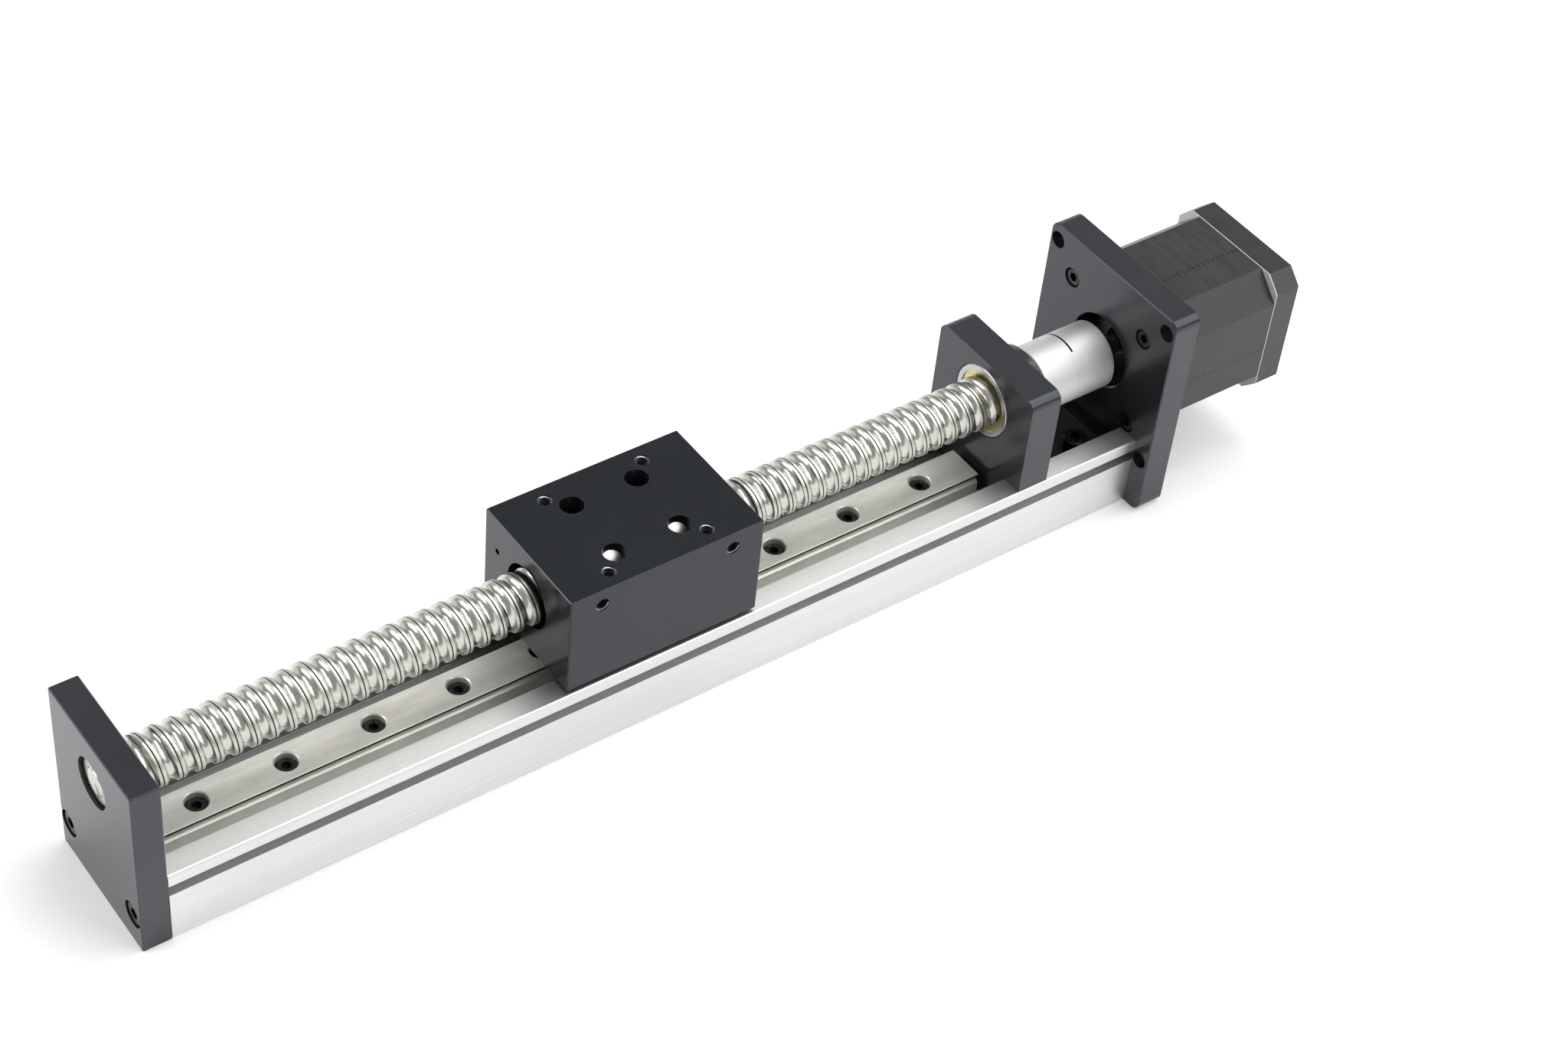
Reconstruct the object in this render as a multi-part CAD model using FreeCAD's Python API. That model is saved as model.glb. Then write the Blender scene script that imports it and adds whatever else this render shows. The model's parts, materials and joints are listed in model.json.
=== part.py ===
import FreeCAD, Part

import math
import os

# Ball screw linear module, in millimetres.
# While it is built, X runs from the outer face of the idle end plate towards the motor, Y is across
# the module with 0 in its middle, and Z is up from the face that it stands on.
# At the end every piece moves along X, so that the finished origin is under the middle of the length.

V = FreeCAD.Vector
X_AXIS = V(1, 0, 0)
Y_AXIS = V(0, 1, 0)
Z_AXIS = V(0, 0, 1)

# Fits and clearances
seat_gap = 0.02         # a ring in its pocket or on its journal, a screw in its thread
ball_gap = 0.04         # a ball in its race, all round
slide_gap = 0.35        # rail carriage to rail, each side
part_gap = 0.3          # pieces that stand close and don't touch
edge_break = 0.3        # chamfer on the machined plates and the block
hole_break = 0.4        # chamfer at the mouth of a large bore
cut_over = 1.0          # how far a cutting tool runs past a face

# Socket head cap screws and set screws
m3_r = 1.5
m3_head_r = 2.75
m3_head_h = 3.0
m3_hex = 2.5
m4_r = 2.0
m4_head_r = 3.5
m4_head_h = 4.0
m4_hex = 3.0
m4_set_hex = 2.0
m2_r = 1.0
m2_head_r = 1.9
m2_head_h = 1.3
m2_hex = 1.5
head_recess = 0.4       # how far a sunk head lies below its face
head_play = 0.3         # a sunk head to its counterbore, all round
socket_depth_share = 0.5
head_edge_share = 0.1   # chamfer of a head, as a share of its height
drill_r_m4 = 1.65       # core hole under an M4 thread

# Base extrusion
base_length = 304.5
base_width = 41.8
base_height = 23.1
channel_width = 28.4
channel_floor_z = 11.2
edge_radius = 0.6
side_slot_z = 17.7
side_slot_mouth = 3.4
side_slot_lip = 2.6
side_slot_inner = 5.2
side_slot_inner_depth = 1.6
chamber_inner_y = 3.6
chamber_outer_y = 12.8
chamber_z0 = 2.6
chamber_z1 = 8.0
end_screw_edge = 4.1    # end screws to the side face
end_screw_z = 10.2
end_thread_depth = 14.0
mount_hole_pitch_x = 200.0
mount_hole_edge = 4.4   # bottom holes to the side face
mount_hole_depth = 7.0

# Guide rail and its screws
rail_start_gap = 2.0    # idle end plate to rail
rail_end_gap = 2.0      # rail to bearing block
rail_pitch = 25.0
rail_margin = 5.0       # least distance from a hole to the rail's end
rail_width = 12.0
rail_height = 8.0
rail_edge = 0.3
rail_bore_play = 0.35   # counterbore to screw head
rail_bore_break = 0.35  # chamfer at the counterbore's mouth
rail_hole_play = 0.25   # hole to screw shank
rail_bore_depth = 4.5
rail_screw_length = 8.0
race_drop = 1.75        # ball centre below the rail's top
race_outset = 0.35      # ball centre outside the rail's side
rail_ball_r = 1.19

# Screw axis and ball screw
axis_z = 41.4
screw_r = 7.5
lead = 5.0
ball_rise = 0.75        # ball centres above the screw's outside
groove_r = 1.6775
track_clear = 0.33      # ball to the screw's track, wider than a real fit
neck_drop = 0.37        # necks below the bottom of the track
thread_relief = 0.6     # plain neck between a bearing and the first thread
section_turns = 4       # turns of thread in one swept section
track_steps = 8         # points across a ball track, less one
idle_end_setback = 0.7
drive_end_r = 4.0
drive_end_length = 12.0

# Idle end plate
end_plate_thick = 8.0
end_plate_overhang = 0.1   # beyond the extrusion, each side
end_plate_height = 55.6
end_plate_window_r = 7.0
end_screw_length = 12.0

# Deep groove ball bearings: bore radius, outer radius, width, ball radius, balls
idle_bearing = dict(bore=4.0, outer=11.0, width=7.0, ball=1.98, count=7)
fixed_bearing = dict(bore=5.0, outer=11.0, width=6.0, ball=1.588, count=9)
motor_bearing = dict(bore=2.5, outer=8.0, width=5.0, ball=1.39, count=7)
race_share = 0.72       # race shoulder to ball centre, as a share of the ball radius
shield_thick = 0.3
shield_inset = 0.35
shield_clear = 0.25
cage_web = 0.4
cage_half_thick = 0.5
ring_chamfer = 0.3

# Fixed bearing block
foot_end_gap = 2.7      # foot of the block to the motor plate
block_thick = 10.0
block_inset = 0.4       # within the extrusion, each side
block_top_z = 55.2
block_corner_r = 3.0
tongue_side_gap = 0.3
boss_length = 3.5
boss_r = 12.0
boss_window_r = 8.5
foot_length = 30.0
foot_top_z = 16.0
foot_screw_pitch_x = 13.0
foot_screw_y = 8.0
foot_screw_length = 10.0

# Spacer ring and retaining ring behind the fixed bearings
spacer_r = 6.5
spacer_stand_out = 0.3
circlip_thick = 1.0
circlip_r = 7.3
circlip_groove = 0.3
circlip_opening = 2.4

# Shaft coupling
coupling_length = 25.0
coupling_r = 10.0
coupling_gap = 0.4      # retaining ring to coupling
coupling_break = 0.5
slit_width = 0.6
slit_floor_y = -4.2
grip_inset = 6.0
grip_sink = 0.4

# Motor plate
plate_thick = 8.9
plate_width = 54.0
plate_height = 70.0
plate_corner_r = 3.0
large_pattern = 47.14
large_hole_r = 2.6
small_pattern = 31.0
pilot_r = 11.0
plate_screw_length = 12.0
motor_screw_length = 8.0

# Stepping motor
motor_square = 42.3
flange_thick = 6.0
flange_corner = 4.6
stack_length = 30.2
stack_chamfer = 7.8
cap_length = 8.7
pilot_height = 2.0
pilot_hole_r = 4.5
motor_shaft_reach = 23.0
shaft_flat_depth = 0.5
front_wall = 1.0
rear_wall = 2.0
washer_thick = 0.5
washer_wave = 0.12
washer_width = 1.6
washer_dips = 3
washer_dip_width = 3.0
stator_bore_r = 13.1
yoke_r = 17.8
pole_count = 8
pole_half_width = 2.2
shoe_depth = 1.1
shoe_half_angle = 17.0
pole_root = 0.5         # how far a pole reaches into the yoke
rotor_air_gap = 0.1
rotor_teeth = 50
tooth_depth = 0.6
tooth_root_share = 0.5
tooth_flank_share = 0.02
cup_length = 12.0
magnet_length = 2.0
magnet_r = 11.0
winding_recess_r = 18.8
winding_recess_depth = 3.4
bearing_wall = 1.5
bobbin_wall = 0.4
coil_head = 2.3
coil_half_width = 4.5
coil_shoe_gap = 0.4
coil_yoke_gap = 0.1
tie_screw_clear = 0.12
tie_screw_end_gap = 0.4
connector_width = 15.0
connector_length = 5.6
connector_reach = 3.4
connector_sink = 2.8
connector_wall = 1.1
connector_x_inset = 0.9
pin_count = 6
pin_pitch = 2.0
pin_half = 0.25

# Slider block
slider_x = 121.3
slider_length = 59.0
slider_inset = 0.7      # within the extrusion, each side
slider_top_z = 55.9
slider_mouth_r = 9.1
slider_mouth_depth = 6.0
through_pattern = 20.0
through_play = 0.5      # through hole to the screw head that passes it
head_seat = 2.0         # metal under the carriage screws' heads
tapped_pattern = 30.0
tapped_depth = 8.0
side_hole_pitch = 40.0
side_hole_z = 50.9
side_hole_depth = 5.5
grease_hole_r = 0.9
grease_hole_y = 14.2
grease_hole_z = 45.4
grease_hole_depth = 3.0
nut_lock_pitch = 24.0
nut_lock_length = 5.0

# Ball nut
nut_r = 14.0
nut_length = 46.0
nut_bore_clear = 0.45    # nut to the outside of the screw
nut_track_clear = 0.07
nut_groove_side = 0.985  # where the groove's straight sides start, as a share of its radius
wiper_width = 3.0
wiper_outer_r = 10.5
wiper_clear = 0.45
return_cap_r = 3.2
return_cap_wall = 0.39   # metal between the nut's track and a return cap
nut_circuits = 3
balls_per_circuit = 17
circuit_pitch = 10.0

# Rail carriage
carriage_width = 27.0
carriage_height = 13.0  # from the rail's foot to the top of the carriage
carriage_lift = 3.0     # underside above the rail's foot
carriage_steel_length = 32.4
cap_thick = 5.2
cap_top_drop = 0.3
seal_thick = 1.2
seal_gap = 0.15
roof_gap = 0.5
return_y = 9.3
return_z_drop = 0.9
carriage_balls_in_row = 12
carriage_screw_length = 6.0
cap_screw_y = 11.4
cap_screw_drop = 2.6
cap_screw_length = 8.0

# Radii that follow from the sizes
ball_circle_r = screw_r + ball_rise
nut_ball_r = groove_r - track_clear
neck_r = ball_circle_r - groove_r - neck_drop
nut_groove_r = nut_ball_r + nut_track_clear
nut_bore_r = screw_r + nut_bore_clear
wiper_inner_r = screw_r + wiper_clear
return_cap_inner_r = ball_circle_r + nut_groove_r + return_cap_wall
idle_journal_r = idle_bearing["bore"]
fixed_journal_r = fixed_bearing["bore"]
motor_shaft_r = motor_bearing["bore"]
coil_inner_r = stator_bore_r + shoe_depth + coil_shoe_gap
coil_outer_r = math.sqrt(yoke_r ** 2 - coil_half_width ** 2) - coil_yoke_gap

# Places that follow from the sizes
half_base = base_width / 2
base_x0 = end_plate_thick
base_x1 = base_x0 + base_length
end_screw_y = half_base - end_screw_edge
mount_hole_y = half_base - mount_hole_edge
end_plate_width = base_width + 2 * end_plate_overhang
block_width = base_width - 2 * block_inset
slider_width = base_width - 2 * slider_inset
block_x = base_x1 - foot_end_gap - foot_length - block_thick
rail_x0 = base_x0 + rail_start_gap
rail_x1 = block_x - rail_end_gap
rail_top_z = channel_floor_z + rail_height
rail_pitches = int((rail_x1 - rail_x0 - 2 * rail_margin) / rail_pitch)
rail_hole_x0 = (rail_x0 + rail_x1 - rail_pitches * rail_pitch) / 2
rail_hole_x = [rail_hole_x0 + i * rail_pitch for i in range(rail_pitches + 1)]
thread_x0 = end_plate_thick + thread_relief
thread_x1 = block_x - thread_relief
fixed_bearings_end = block_x + 2 * fixed_bearing["width"]
boss_face_x = block_x + block_thick + boss_length
circlip_x = boss_face_x + spacer_stand_out
coupling_x0 = circlip_x + circlip_thick + coupling_gap
coupling_x1 = coupling_x0 + coupling_length
coupling_mid = (coupling_x0 + coupling_x1) / 2
plate_x1 = base_x1 + plate_thick
flange_x1 = plate_x1 + flange_thick
stack_x1 = flange_x1 + stack_length
motor_x1 = stack_x1 + cap_length
motor_z0 = axis_z - motor_square / 2
slider_mid = slider_x + slider_length / 2
nut_x0 = slider_x + slider_mouth_depth
carriage_bottom_z = channel_floor_z + carriage_lift
carriage_top_z = channel_floor_z + carriage_height
foot_mid_x = block_x + block_thick + foot_length / 2
origin_x = motor_x1 / 2


def box(x0, x1, y0, y1, z0, z1):
    return Part.makeBox(x1 - x0, y1 - y0, z1 - z0, V(x0, y0, z0))


def rod_x(x0, x1, radius, y=0.0, z=axis_z):
    return Part.makeCylinder(radius, x1 - x0, V(x0, y, z), X_AXIS)


def rod_z(z0, z1, radius, x, y):
    return Part.makeCylinder(radius, z1 - z0, V(x, y, z0), Z_AXIS)


def rod_y(y0, y1, radius, x, z):
    return Part.makeCylinder(radius, y1 - y0, V(x, y0, z), Y_AXIS)


def ring_x(x0, x1, outer, inner, y=0.0, z=axis_z):
    return rod_x(x0, x1, outer, y, z).cut(rod_x(x0, x1, inner, y, z))


def joined(shapes):
    """One solid from shapes that overlap or share a face."""
    whole = shapes[0].multiFuse(shapes[1:]).removeSplitter()
    return whole.Solids[0] if len(whole.Solids) == 1 else whole


def group(shapes):
    """Separate solids that share one node."""
    return Part.Compound([solid for shape in shapes for solid in shape.Solids])


def corners(spacing_a, spacing_b):
    """The four corners of a centred rectangle."""
    return [(a * spacing_a / 2, b * spacing_b / 2) for a in (-1, 1) for b in (-1, 1)]


def face_in_yz(points, x=0.0):
    """A flat face at one X from (y, z) corners."""
    return Part.Face(Part.makePolygon([V(x, y, z) for y, z in points + points[:1]]))


def mirrored(points):
    """A half outline, from bottom to top at y > 0, made into the whole outline."""
    return points + [(-y, z) for y, z in reversed(points)]


def chamfered_box(x0, x1, y0, y1, z0, z1, size=edge_break):
    solid = box(x0, x1, y0, y1, z0, z1)
    return solid.makeChamfer(size, solid.Edges)


def along_x(edge):
    """True for a straight edge that runs along X."""
    first, last = edge.Vertexes[0].Point, edge.Vertexes[-1].Point
    run = last - first
    return abs(abs(run.x) - run.Length) < 1e-6 and run.Length > 1e-6


def round_edges(solid, radius):
    """The circular edges of one radius."""
    return [e for e in solid.Edges if abs(e.Length - 2 * math.pi * radius) < 1e-3]


def aimed(shape, place, direction):
    """A shape made along +Z at the origin, turned to point along direction and put at place."""
    moved = shape.copy()
    moved.Placement = FreeCAD.Placement(place, FreeCAD.Rotation(Z_AXIS, direction))
    return moved


def hexagon(across_flats, depth, top_z):
    radius = across_flats / math.sqrt(3)
    turn = [math.radians(60 * i) for i in range(6)]
    points = [V(radius * math.cos(a), radius * math.sin(a), top_z - depth) for a in turn]
    return Part.Face(Part.makePolygon(points + points[:1])).extrude(V(0, 0, depth))


def cap_screw(radius, head_radius, head_height, hex_size, length):
    """A socket head cap screw: seat at the origin, head up, thread down."""
    head = Part.makeCylinder(head_radius, head_height)
    rim = [e for e in round_edges(head, head_radius) if e.Vertexes[0].Z > head_height / 2]
    head = head.makeChamfer(head_height * head_edge_share, rim)
    shank = Part.makeCylinder(radius, length, V(0, 0, -length), Z_AXIS)
    socket = hexagon(hex_size, head_height * socket_depth_share, head_height)
    return joined([head, shank]).cut(socket)


def m3_screw(length):
    return cap_screw(m3_r, m3_head_r, m3_head_h, m3_hex, length)


def m4_screw(length):
    return cap_screw(m4_r, m4_head_r, m4_head_h, m4_hex, length)


def m4_set_screw(length):
    """A socket set screw: outer end at the origin, body down."""
    body = Part.makeCylinder(m4_r, length, V(0, 0, -length), Z_AXIS)
    return body.cut(hexagon(m4_set_hex, m4_set_hex, 0.0))


def counterbore_x(face_x, inward, radius, head_radius, head_height, through, y, z):
    """Hole and sunk seat for a cap screw along X, as one cutting tool."""
    depth = head_height + head_recess
    seat_x = face_x + inward * depth
    far_x = face_x + inward * through
    sunk = rod_x(min(face_x, seat_x), max(face_x, seat_x), head_radius + head_play, y, z)
    hole = rod_x(min(face_x, far_x), max(face_x, far_x), radius + seat_gap, y, z)
    return sunk.fuse(hole)


def square_outline(half, corner):
    """A square about the screw axis with its corners cut at 45 degrees."""
    inner = half - corner
    points = [(half, -inner), (half, inner), (inner, half), (-inner, half),
              (-half, inner), (-half, -inner), (-inner, -half), (inner, -half)]
    return [(y, axis_z + z) for y, z in points]


# Base extrusion

def side_slot(side):
    """T shaped slot in one side wall, for small nuts."""
    mouth_depth = side_slot_lip + side_slot_inner_depth
    mouth = box(base_x0, base_x1, half_base - mouth_depth, half_base + cut_over,
                side_slot_z - side_slot_mouth / 2, side_slot_z + side_slot_mouth / 2)
    inner = box(base_x0, base_x1, half_base - mouth_depth, half_base - side_slot_lip,
                side_slot_z - side_slot_inner / 2, side_slot_z + side_slot_inner / 2)
    slot = mouth.fuse(inner)
    return slot if side > 0 else slot.mirror(V(0, 0, 0), Y_AXIS)


def base_extrusion():
    solid = box(base_x0, base_x1, -half_base, half_base, 0, base_height)
    long_edges = [e for e in solid.Edges if along_x(e)]
    solid = solid.makeFillet(edge_radius, long_edges)
    half_channel = channel_width / 2
    channel_top = base_height + cut_over
    cuts = [box(base_x0, base_x1, -half_channel, half_channel, channel_floor_z, channel_top)]
    for side in (-1, 1):
        cuts.append(side_slot(side))
        inner, outer = sorted((side * chamber_inner_y, side * chamber_outer_y))
        cuts.append(box(base_x0, base_x1, inner, outer, chamber_z0, chamber_z1))
        y = side * end_screw_y
        cuts.append(rod_x(base_x0, base_x1, drill_r_m4, y, end_screw_z))
        thread = m4_r + seat_gap
        cuts.append(rod_x(base_x0, base_x0 + end_thread_depth, thread, y, end_screw_z))
        cuts.append(rod_x(base_x1 - end_thread_depth, base_x1, thread, y, end_screw_z))
    for x in rail_hole_x:
        bottom = rail_top_z - rail_bore_depth - rail_screw_length - part_gap
        cuts.append(rod_z(bottom, channel_floor_z, m3_r + seat_gap, x, 0))
    for x, y in foot_screw_places():
        cuts.append(rod_z(chamber_z1 - cut_over, channel_floor_z, m4_r + seat_gap, x, y))
    for x, y in mount_hole_places():
        cuts.append(rod_z(0, mount_hole_depth, m4_r, x, y))
    return solid.cut(Part.Compound(cuts))


def mount_hole_places():
    middle = (base_x0 + base_x1) / 2
    return [(middle + x, y) for x, y in corners(mount_hole_pitch_x, 2 * mount_hole_y)]


# Guide rail

def race_tool(x0, x1, radius):
    """The two ball tracks between rail and carriage, as cutting tools."""
    y = rail_width / 2 + race_outset
    z = rail_top_z - race_drop
    return Part.Compound([rod_x(x0, x1, radius, side * y, z) for side in (-1, 1)])


def guide_rail():
    half = rail_width / 2
    outline = mirrored([(half - rail_edge, channel_floor_z), (half, channel_floor_z + rail_edge),
                        (half, rail_top_z - rail_edge), (half - rail_edge, rail_top_z)])
    solid = face_in_yz(outline, rail_x0).extrude(V(rail_x1 - rail_x0, 0, 0))
    seat_z = rail_top_z - rail_bore_depth
    cuts = [race_tool(rail_x0, rail_x1, rail_ball_r + ball_gap)]
    bore_r = m3_head_r + rail_bore_play
    for x in rail_hole_x:
        cuts.append(rod_z(seat_z, rail_top_z, bore_r, x, 0))
        cuts.append(rod_z(channel_floor_z, seat_z, m3_r + rail_hole_play, x, 0))
        cuts.append(Part.makeCone(bore_r, bore_r + rail_bore_break, rail_bore_break,
                                  V(x, 0, rail_top_z - rail_bore_break), Z_AXIS))
    for cut in cuts:
        solid = solid.cut(cut)
    return solid


def rail_screws():
    screw = m3_screw(rail_screw_length)
    seat_z = rail_top_z - rail_bore_depth
    return group([aimed(screw, V(x, 0, seat_z), Z_AXIS) for x in rail_hole_x])


# Ball bearings, each made of two rings, balls, a cage and two shields

def bearing_radii(kind):
    pitch = (kind["bore"] + kind["outer"]) / 2
    drop = kind["ball"] * race_share
    return pitch, pitch - drop, pitch + drop


def ball_circle(kind, x_mid):
    pitch = bearing_radii(kind)[0]
    turn = [2 * math.pi * i / kind["count"] for i in range(kind["count"])]
    return [V(x_mid, pitch * math.cos(a), axis_z + pitch * math.sin(a)) for a in turn]


def race_ring(kind, x_mid):
    pitch = bearing_radii(kind)[0]
    return Part.makeTorus(pitch, kind["ball"] + ball_gap, V(x_mid, 0, axis_z), X_AXIS)


def bearing_parts(kind, x0):
    pitch, inner_r, outer_r = bearing_radii(kind)
    x1 = x0 + kind["width"]
    x_mid = (x0 + x1) / 2
    race = race_ring(kind, x_mid)
    centres = ball_circle(kind, x_mid)
    ring_r = kind["outer"] - seat_gap
    outer = ring_x(x0, x1, ring_r, outer_r)
    outer = outer.makeChamfer(ring_chamfer, round_edges(outer, ring_r))
    inner = ring_x(x0, x1, inner_r, kind["bore"] + seat_gap)
    shields = []
    for a in (x0 + shield_inset, x1 - shield_inset - shield_thick):
        shields.append(ring_x(a, a + shield_thick, outer_r, inner_r + shield_clear))
    cage = ring_x(x_mid + cage_web, x_mid + kind["ball"] + cage_web,
                  pitch + cage_half_thick, pitch - cage_half_thick)
    pockets = [Part.makeSphere(kind["ball"] + ball_gap, c) for c in centres]
    return dict(outer_ring=outer.cut(race), inner_ring=inner.cut(race),
                balls=group([Part.makeSphere(kind["ball"], c) for c in centres]),
                cage=cage.cut(Part.Compound(pockets)), shields=group(shields))


def bearing_nodes(name, kind, starts):
    """Named groups for one or more equal bearings."""
    sets = [bearing_parts(kind, x0) for x0 in starts]
    plural = "s" if len(starts) > 1 else ""
    return {
        f"{name}_outer_ring{plural}": group([s["outer_ring"] for s in sets]),
        f"{name}_inner_ring{plural}": group([s["inner_ring"] for s in sets]),
        f"{name}_balls": group([s["balls"] for s in sets]),
        f"{name}_cage{plural}": group([s["cage"] for s in sets]),
        f"{name}_shields": group([s["shields"] for s in sets]),
    }


# Idle end plate

def end_plate():
    solid = chamfered_box(0, end_plate_thick, -end_plate_width / 2, end_plate_width / 2,
                          0, end_plate_height)
    pocket_x = end_plate_thick - idle_bearing["width"]
    cuts = [rod_x(pocket_x, end_plate_thick, idle_bearing["outer"]),
            rod_x(0, end_plate_thick, end_plate_window_r)]
    for side in (-1, 1):
        cuts.append(counterbore_x(0, 1, m4_r, m4_head_r, m4_head_h, end_plate_thick,
                                  side * end_screw_y, end_screw_z))
    for cut in cuts:
        solid = solid.cut(cut)
    return solid


def end_plate_screws():
    screw = m4_screw(end_screw_length)
    seat = m4_head_h + head_recess
    return group([aimed(screw, V(seat, side * end_screw_y, end_screw_z), -X_AXIS)
                  for side in (-1, 1)])


# Fixed bearing block

def foot_screw_places():
    return [(foot_mid_x + x, y) for x, y in corners(foot_screw_pitch_x, 2 * foot_screw_y)]


def bearing_block():
    half = block_width / 2
    tongue = channel_width / 2 - tongue_side_gap
    upper = box(block_x, block_x + block_thick, -half, half, base_height, block_top_z)
    top = [e for e in upper.Edges if along_x(e) and e.Vertexes[0].Z > axis_z]
    upper = upper.makeFillet(block_corner_r, top)
    lower = box(block_x, block_x + block_thick, -tongue, tongue, channel_floor_z, base_height)
    foot_x1 = block_x + block_thick + foot_length
    foot = box(block_x + block_thick, foot_x1, -tongue, tongue, channel_floor_z, foot_top_z)
    boss = rod_x(block_x + block_thick, boss_face_x, boss_r)
    solid = joined([upper, lower, foot, boss])
    cuts = [rod_x(block_x, fixed_bearings_end, fixed_bearing["outer"]),
            rod_x(block_x, boss_face_x, boss_window_r)]
    for x, y in foot_screw_places():
        cuts.append(rod_z(channel_floor_z, foot_top_z, m4_r + seat_gap, x, y))
    for cut in cuts:
        solid = solid.cut(cut)
    return solid


def bearing_block_screws():
    screw = m4_screw(foot_screw_length)
    return group([aimed(screw, V(x, y, foot_top_z), Z_AXIS) for x, y in foot_screw_places()])


def bearing_spacer():
    return ring_x(fixed_bearings_end, circlip_x, spacer_r, fixed_journal_r + seat_gap)


def shaft_circlip():
    inner = fixed_journal_r - circlip_groove + seat_gap
    ring = ring_x(circlip_x, circlip_x + circlip_thick, circlip_r, inner)
    opening = box(circlip_x, circlip_x + circlip_thick, -circlip_opening / 2, circlip_opening / 2,
                  axis_z - circlip_r, axis_z)
    return ring.cut(opening)


# Ball screw and ball nut

def thread_outline(x, land_r, centre_r, arc_r, half, outward):
    """The cross-section of a helical ball track: a round land and one bay or bulge.

    half is the track's half width along the axis. A bulge has straight sides down to the land.
    """
    phase = 2 * math.pi * x / lead
    points = []
    for i in range(track_steps + 1):
        run = -half * math.cos(math.pi * i / track_steps)
        angle = phase + 2 * math.pi * run / lead
        radius = centre_r + outward * math.sqrt(arc_r ** 2 - run ** 2)
        points.append(V(x, radius * math.cos(angle), axis_z + radius * math.sin(angle)))
    bay = Part.BSplineCurve()
    bay.interpolate(points)
    spread = 2 * math.pi * half / lead
    ends = [V(x, land_r * math.cos(phase + turn), axis_z + land_r * math.sin(phase + turn))
            for turn in (spread, math.pi, -spread)]
    edges = [bay.toShape(), Part.Arc(*ends).toShape()]
    if ends[0].distanceToPoint(points[-1]) > seat_gap:
        edges.insert(1, Part.makeLine(points[-1], ends[0]))
        edges.append(Part.makeLine(ends[2], points[0]))
    return Part.Wire(edges)


def helical_sweep(x0, x1, land_r, centre_r, arc_r, half, outward):
    """A right-hand helical body along the screw axis."""
    spine = Part.Wire([Part.makeLine(V(x0, 0, axis_z), V(x1, 0, axis_z))])
    guide = Part.makeHelix(lead, x1 - x0, 2 * screw_r)
    guide.rotate(V(0, 0, 0), Y_AXIS, 90)
    guide.translate(V(x0, 0, axis_z))
    sweep = Part.BRepOffsetAPI.MakePipeShell(spine)
    sweep.setAuxiliarySpine(guide, False, 0)
    sweep.add(thread_outline(x0, land_r, centre_r, arc_r, half, outward))
    sweep.build()
    sweep.makeSolid()
    return sweep.shape()


def helical_body(x0, x1, *profile):
    """A long helical body: sections of a few turns, joined end to end."""
    count = math.ceil((x1 - x0) / (section_turns * lead))
    step = (x1 - x0) / count
    sections = [helical_sweep(x0 + i * step, x0 + (i + 1) * step, *profile) for i in range(count)]
    return sections[0].multiFuse(sections[1:])


def ball_screw():
    half = math.sqrt(groove_r ** 2 - (ball_circle_r - screw_r) ** 2)
    thread = helical_body(thread_x0, thread_x1, screw_r, ball_circle_r, groove_r, half, -1)
    drive_x1 = coupling_x0 + drive_end_length
    journal_x1 = circlip_x + circlip_thick + coupling_gap / 2
    steps = [(idle_end_setback, end_plate_thick, idle_journal_r),
             (end_plate_thick, thread_x0, neck_r),
             (thread_x1, block_x, neck_r),
             (block_x, circlip_x, fixed_journal_r),
             (circlip_x, circlip_x + circlip_thick, fixed_journal_r - circlip_groove),
             (circlip_x + circlip_thick, journal_x1, fixed_journal_r),
             (journal_x1, drive_x1, drive_end_r)]
    pieces = [rod_x(x0, x1, radius) for x0, x1, radius in steps]
    whole = thread.multiFuse(pieces)
    return whole.Solids[0]


def nut_ball_centres():
    """Ball places on the helix, a circuit of one turn each."""
    middle = nut_x0 + nut_length / 2
    places = []
    for circuit in range(nut_circuits):
        start = middle + (circuit - (nut_circuits - 1) / 2) * circuit_pitch
        for i in range(balls_per_circuit):
            x = start + lead * (i / balls_per_circuit - 0.5)
            angle = 2 * math.pi * x / lead
            places.append(V(x, ball_circle_r * math.cos(angle),
                            axis_z + ball_circle_r * math.sin(angle)))
    return places


def return_cap_places():
    middle = nut_x0 + nut_length / 2
    return [middle + (i - (nut_circuits - 1) / 2) * circuit_pitch for i in range(nut_circuits)]


def ball_nut():
    solid = rod_x(nut_x0, nut_x0 + nut_length, nut_r - seat_gap)
    start = nut_x0 + wiper_width
    end = nut_x0 + nut_length - wiper_width
    half = nut_groove_r * nut_groove_side
    track = helical_body(start, end, nut_bore_r, ball_circle_r, nut_groove_r, half, 1)
    solid = solid.cut(track)
    for x0, x1 in ((nut_x0, start), (end, nut_x0 + nut_length)):
        solid = solid.cut(rod_x(x0, x1, wiper_outer_r))
    for x in return_cap_places():
        hole = rod_z(axis_z - nut_r, axis_z - return_cap_inner_r, return_cap_r + seat_gap, x, 0)
        solid = solid.cut(hole)
    return solid


def nut_return_caps():
    shell = rod_x(nut_x0, nut_x0 + nut_length, nut_r - 2 * seat_gap)
    caps = []
    for x in return_cap_places():
        plug = rod_z(axis_z - nut_r, axis_z - return_cap_inner_r, return_cap_r, x, 0)
        caps.append(plug.common(shell))
    return group(caps)


def nut_balls():
    return group([Part.makeSphere(nut_ball_r, c) for c in nut_ball_centres()])


def nut_wipers():
    outer = wiper_outer_r - seat_gap
    far = nut_x0 + nut_length
    return group([ring_x(nut_x0, nut_x0 + wiper_width, outer, wiper_inner_r),
                  ring_x(far - wiper_width, far, outer, wiper_inner_r)])


# Slider block

def nut_lock_places():
    return [slider_mid + side * nut_lock_pitch / 2 for side in (-1, 1)]


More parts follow.
